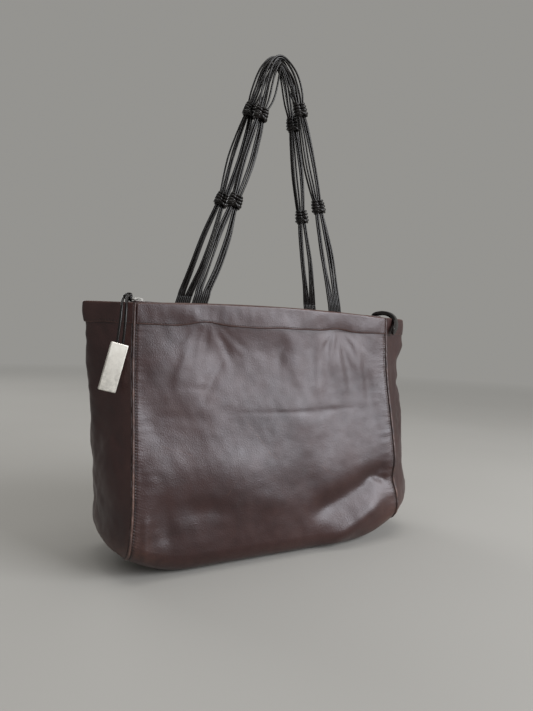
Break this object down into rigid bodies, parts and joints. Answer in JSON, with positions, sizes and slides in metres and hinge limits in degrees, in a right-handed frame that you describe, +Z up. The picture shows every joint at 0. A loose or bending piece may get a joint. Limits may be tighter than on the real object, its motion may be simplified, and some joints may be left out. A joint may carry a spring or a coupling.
{
  "type": "leather tote bag",
  "caption": "Soft leather tote with outward-folded gussets, a zipped mouth, knotted leather-cord handles and a metal tag hanging from the zip slider.",
  "frame": {"origin": "on the floor, under the middle of the bag's base", "axes": "+X along the bag's width, from the end where the zip closes to the end with the zip's tail; -Y towards the front; +Z up to the handles"},
  "size_m": [0.417, 0.1214, 0.5628],
  "materials": {
    "leather": "smooth dark brown hide, semi-gloss, creased and scuffed",
    "worn_edge": "raised turned edge, rubbed to a lighter red-brown",
    "cord_leather": "round near-black cord, slightly glossy",
    "lining": "plain dark woven cotton",
    "zip_tape": "woven tape",
    "zip_metal": "dull nickel plate",
    "tag_metal": "brushed and worn, edges polished by handling"
  },
  "bodies": {
    "bag": {"front_panel": "leather", "rear_panel": "leather", "left_gusset": "leather", "right_gusset": "leather", "front_band": "leather", "rear_band": "leather", "left_gusset_band": "leather", "right_gusset_band": "leather", "front_left_seam": "worn_edge", "front_right_seam": "worn_edge", "rear_left_seam": "worn_edge", "rear_right_seam": "worn_edge", "front_lining": "lining", "rear_lining": "lining", "left_lining": "lining", "right_lining": "lining", "front_handle_ends": "cord_leather", "rear_handle_ends": "cord_leather", "zip_left_end": "leather", "zip_right_end": "leather", "zip_stops": "zip_metal"},
    "front_handle": {"front_handle_cords": "cord_leather", "front_handle_knots": "cord_leather"},
    "rear_handle": {"rear_handle_cords": "cord_leather", "rear_handle_knots": "cord_leather"},
    "front_zip_side": {"front_zip_wing": "leather", "front_zip_tape": "zip_tape", "front_zip_teeth": "zip_metal"},
    "rear_zip_side": {"rear_zip_wing": "leather", "rear_zip_tape": "zip_tape", "rear_zip_teeth": "zip_metal"},
    "slider": {"slider_body": "zip_metal"},
    "ring": {"pull_ring": "zip_metal"},
    "tag": {"pull_cord": "cord_leather", "metal_tag": "tag_metal"},
    "tail": {"zip_tail": "leather"}
  },
  "joints": [
    {"name": "front_handle_fold", "type": "hinge", "parent": "bag", "child": "front_handle", "pos_m": [0, -0.0239, 0.283], "axis": [1, 0, 0], "range_deg": [0, 140]},
    {"name": "rear_handle_fold", "type": "hinge", "parent": "bag", "child": "rear_handle", "pos_m": [0, 0.0239, 0.283], "axis": [-1, 0, 0], "range_deg": [0, 140]},
    {"name": "zip_slide", "type": "slide", "parent": "bag", "child": "slider", "axis": [1, 0, 0], "range_m": [0, 0.292], "deforming": ["pull_cord"]},
    {"name": "ring_flip", "type": "hinge", "parent": "slider", "child": "ring", "pos_m": [-0.1478, 0, 0.2747], "axis": [0, 1, 0], "range_deg": [0, 90]},
    {"name": "tag_swing", "type": "hinge", "parent": "ring", "child": "tag", "pos_m": [-0.1566, 0, 0.2746], "axis": [-0.8412, 0.5408, 0], "range_deg": [0, 90]},
    {"name": "front_zip_fold", "type": "hinge", "parent": "bag", "child": "front_zip_side", "pos_m": [0, -0.0204, 0.2714], "axis": [-1, 0, 0], "range_deg": [0, 75]},
    {"name": "rear_zip_fold", "type": "hinge", "parent": "bag", "child": "rear_zip_side", "pos_m": [0, 0.0204, 0.2714], "axis": [1, 0, 0], "range_deg": [0, 75]},
    {"name": "tail_lift", "type": "hinge", "parent": "bag", "child": "tail", "pos_m": [0.158, -0.002, 0.2734], "axis": [-0.8412, -0.5408, 0], "range_deg": [0, 60]}
  ]
}
